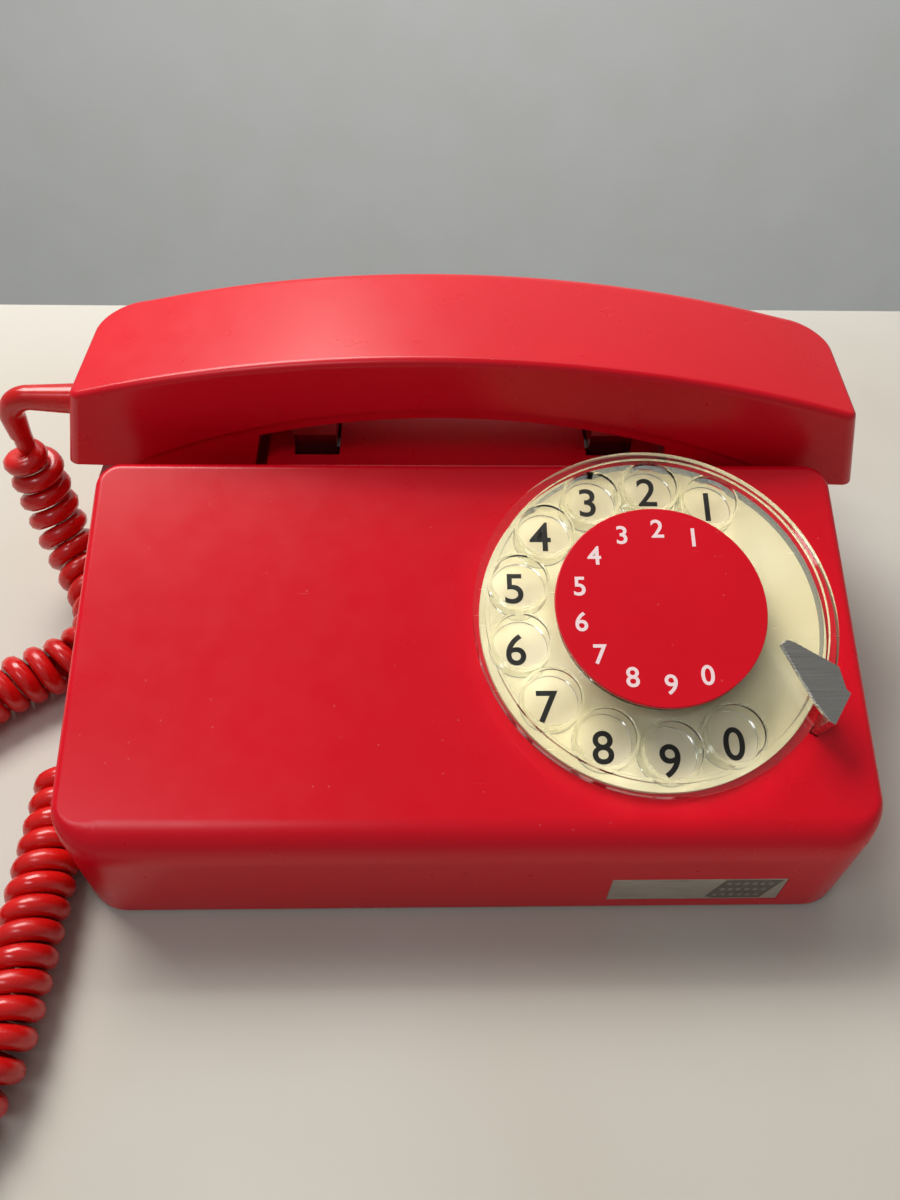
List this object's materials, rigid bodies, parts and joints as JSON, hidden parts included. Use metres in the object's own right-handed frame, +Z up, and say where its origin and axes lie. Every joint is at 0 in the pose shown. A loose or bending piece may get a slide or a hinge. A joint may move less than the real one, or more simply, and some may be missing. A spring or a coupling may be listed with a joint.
{
  "type": "rotary telephone",
  "caption": "Wedge-shaped desk telephone with a clear finger wheel, a lift-off handset on two sprung posts and a curly cord.",
  "frame": {"origin": "under the middle of the telephone, on the plane its feet stand on", "axes": "+Z up, +Y to the back (handset side), +X to the right seen from the front"},
  "size_m": [0.3021, 0.2507, 0.0985],
  "materials": {
    "red_abs": "glossy moulded ABS",
    "clear_acrylic": "clear moulded acrylic",
    "cream_plastic": "printed ivory sheet",
    "stainless": "brushed stainless steel",
    "zinc_steel": "zinc plated steel",
    "brass": "machined brass",
    "rubber": "moulded rubber",
    "black_plastic": "black phenolic",
    "board": "paper phenolic board",
    "copper_coil": "taped enamelled winding",
    "plate_aluminium": "etched aluminium plate",
    "cord_red": "soft vinyl"
  },
  "bodies": {
    "housing": {"top_shell": "red_abs", "base_tray": "red_abs", "rubber_feet": "rubber", "base_screws": "zinc_steel", "nameplate": "plate_aluminium", "line_inlet": "black_plastic", "cord_gland": "cord_red", "number_plate": "cream_plastic", "finger_stop": "stainless", "dial_frame": "zinc_steel", "dial_back_plate": "zinc_steel", "dial_pillars": "brass", "dial_screws": "zinc_steel", "return_spring": "zinc_steel", "governor_cup": "zinc_steel", "contact_stack": "black_plastic", "impulse_blades": "brass", "hook_springs": "zinc_steel", "hook_bracket": "zinc_steel", "hook_switch": "black_plastic", "hook_leaves": "brass", "gong_left": "zinc_steel", "gong_right": "zinc_steel", "gong_posts": "brass", "gong_screws": "zinc_steel", "ringer_yoke": "zinc_steel", "ringer_coils": "copper_coil", "circuit_board": "board", "board_stands": "brass", "board_screws": "zinc_steel", "induction_coil": "copper_coil", "capacitor": "black_plastic", "terminal_block": "black_plastic", "terminal_screws": "brass", "cord_lying_coil": "cord_red", "cord_tail": "cord_red"},
    "dial": {"finger_wheel": "clear_acrylic", "centre_disc": "red_abs", "dial_shaft": "brass", "wheel_screw": "zinc_steel", "main_gear": "brass", "impulse_cam": "black_plastic"},
    "idler": {"idler_pinion": "brass", "idler_wheel": "brass"},
    "governor": {"governor_spindle": "brass", "governor_weights": "brass"},
    "hook": {"hook_posts": "clear_acrylic", "hook_yoke": "zinc_steel"},
    "clapper": {"clapper": "brass"},
    "handset": {"handset_shell": "red_abs", "handset_inner": "red_abs", "handset_screws": "zinc_steel", "receiver_capsule": "black_plastic", "transmitter_capsule": "black_plastic", "cord_sleeve": "cord_red", "cord_drop": "cord_red", "cord_hanging_coil": "cord_red"}
  },
  "joints": [
    {"name": "dial_spin", "type": "hinge", "parent": "housing", "child": "dial", "pos_m": [0.0482, -0.03411, 0.05527], "axis": [0, 0.3107, -0.9505], "range_deg": [0, 318], "stiffness_Nm_per_rad": 0.008, "springref_deg": -85.94},
    {"name": "idler_spin", "type": "hinge", "parent": "housing", "child": "idler", "pos_m": [0.03038, -0.04156, 0.03789], "axis": [0, 0.3107, -0.9505], "range_deg": [-1528.4, 0]},
    {"name": "governor_spin", "type": "hinge", "parent": "housing", "child": "governor", "pos_m": [0.02158, -0.02582, 0.04304], "axis": [0, 0.3107, -0.9505], "range_deg": [0, 6109.6]},
    {"name": "handset_lift", "type": "slide", "parent": "housing", "child": "handset", "axis": [0, 0, 1], "range_m": [0, 0.09], "deforming": ["cord_hanging_coil"]},
    {"name": "hook_rise", "type": "slide", "parent": "housing", "child": "hook", "axis": [0, 0, 1], "range_m": [0, 0.005], "deforming": ["hook_springs"]},
    {"name": "clapper_swing", "type": "hinge", "parent": "housing", "child": "clapper", "pos_m": [-0.048, -0.012, 0.0324], "axis": [0, 1, 0], "range_deg": [-4, 4], "stiffness_Nm_per_rad": 0.003}
  ],
  "couplings": [
    {"joint": "idler_spin", "follows": "dial_spin", "ratio": -4.8},
    {"joint": "governor_spin", "follows": "dial_spin", "ratio": 19.2},
    {"joint": "hook_rise", "follows": "handset_lift", "ratio": 0.055556}
  ]
}
